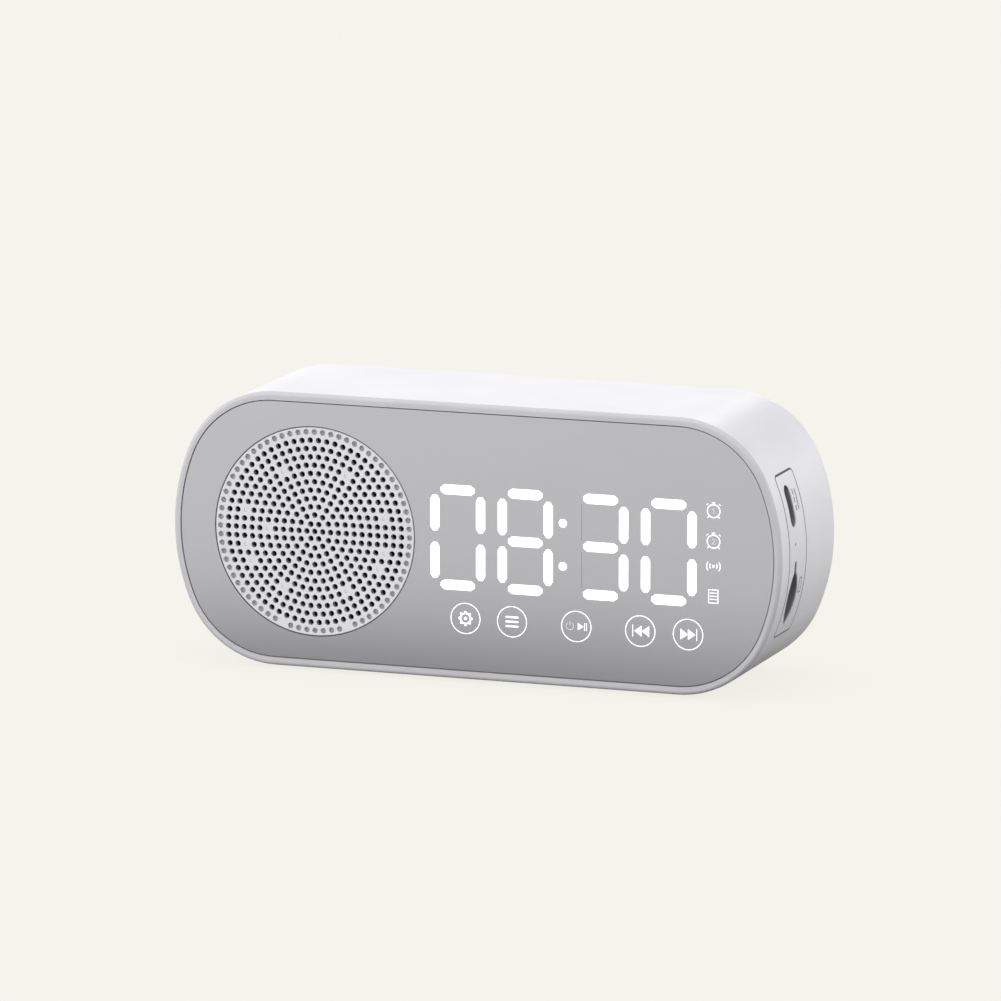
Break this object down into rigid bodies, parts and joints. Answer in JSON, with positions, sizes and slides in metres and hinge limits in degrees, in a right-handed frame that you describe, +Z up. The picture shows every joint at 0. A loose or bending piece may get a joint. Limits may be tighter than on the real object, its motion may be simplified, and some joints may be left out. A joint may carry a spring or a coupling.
{
  "type": "talking alarm clock",
  "caption": "Mirror-front talking alarm clock with loudspeaker, lit digits, touch keys, charging port and card slot in a long rounded case.",
  "frame": {"origin": "bottom centre of the bounding box: on the table, under the middle of the case", "axes": "+Z up, front faces -Y, +X to the right as seen from the front, along the case's length"},
  "size_m": [0.145, 0.043, 0.0638],
  "materials": {
    "white_plastic": "moulded white ABS, smooth satin",
    "silver_plastic": "silver-grey moulded rim, satin",
    "mirror": "half-silvered grey acrylic, smooth",
    "tape": "black double-sided tape",
    "grille_plastic": "pale grey moulded plastic, matt",
    "cloth": "black woven dust cloth",
    "plated_steel": "plated sheet steel",
    "ferrite": "sintered magnet, dark grey",
    "copper_coil": "enamelled copper winding on its former",
    "cone_paper": "black pressed paper",
    "soft_rubber": "soft black rubber, matt",
    "board_laminate": "green glass-fibre laminate",
    "screw_steel": "zinc-plated steel",
    "diffuser": "milky film",
    "chip_plastic": "light chip",
    "foam": "dense grey foam",
    "black_plastic": "black moulded plastic",
    "aluminium_can": "drawn aluminium can",
    "ivory_plastic": "ivory nylon",
    "panel_plastic": "pale moulded plastic, smooth satin",
    "cell_sleeve": "shrink sleeve round a steel can",
    "lead_sleeve": "insulated two-core lead"
  },
  "bodies": {
    "housing": {"body_shell": "white_plastic", "front_frame": "silver_plastic", "mirror_panel": "mirror", "mirror_tape": "tape", "speaker_grille": "grille_plastic", "dust_cloth": "cloth", "speaker_basket": "plated_steel", "speaker_top_plate": "plated_steel", "speaker_magnet": "ferrite", "speaker_yoke": "plated_steel", "speaker_surround": "soft_rubber", "speaker_terminals": "board_laminate", "main_board": "board_laminate", "frame_screws": "screw_steel", "board_screws": "screw_steel", "display_reflector": "white_plastic", "display_diffuser": "diffuser", "light_chips": "chip_plastic", "touch_pads": "foam", "control_chips": "black_plastic", "board_capacitor": "aluminium_can", "speaker_plug": "ivory_plastic", "cell_plug": "ivory_plastic", "port_panel": "panel_plastic", "charging_socket": "plated_steel", "charging_tongue": "black_plastic", "card_socket_base": "black_plastic", "card_socket_cover": "plated_steel", "card_spring": "plated_steel", "microphone": "aluminium_can", "microphone_boot": "soft_rubber", "battery_cell": "cell_sleeve", "cell_pad": "foam", "speaker_lead": "lead_sleeve", "cell_lead": "lead_sleeve", "foot_front": "soft_rubber", "foot_rear": "soft_rubber"},
    "diaphragm": {"speaker_cone": "cone_paper", "speaker_dust_cap": "cone_paper", "voice_coil": "copper_coil"},
    "card_pusher": {"card_slider": "ivory_plastic"}
  },
  "joints": [
    {"name": "diaphragm_stroke", "type": "slide", "parent": "housing", "child": "diaphragm", "axis": [0, -1, 0], "range_m": [-0.0008, 0.0008], "stiffness_N_per_m": 1600, "deforming": ["speaker_surround"]},
    {"name": "card_push", "type": "slide", "parent": "housing", "child": "card_pusher", "axis": [-1, 0, 0], "range_m": [0, 0.001], "stiffness_N_per_m": 300, "springref_m": -0.001, "deforming": ["card_spring"]}
  ]
}
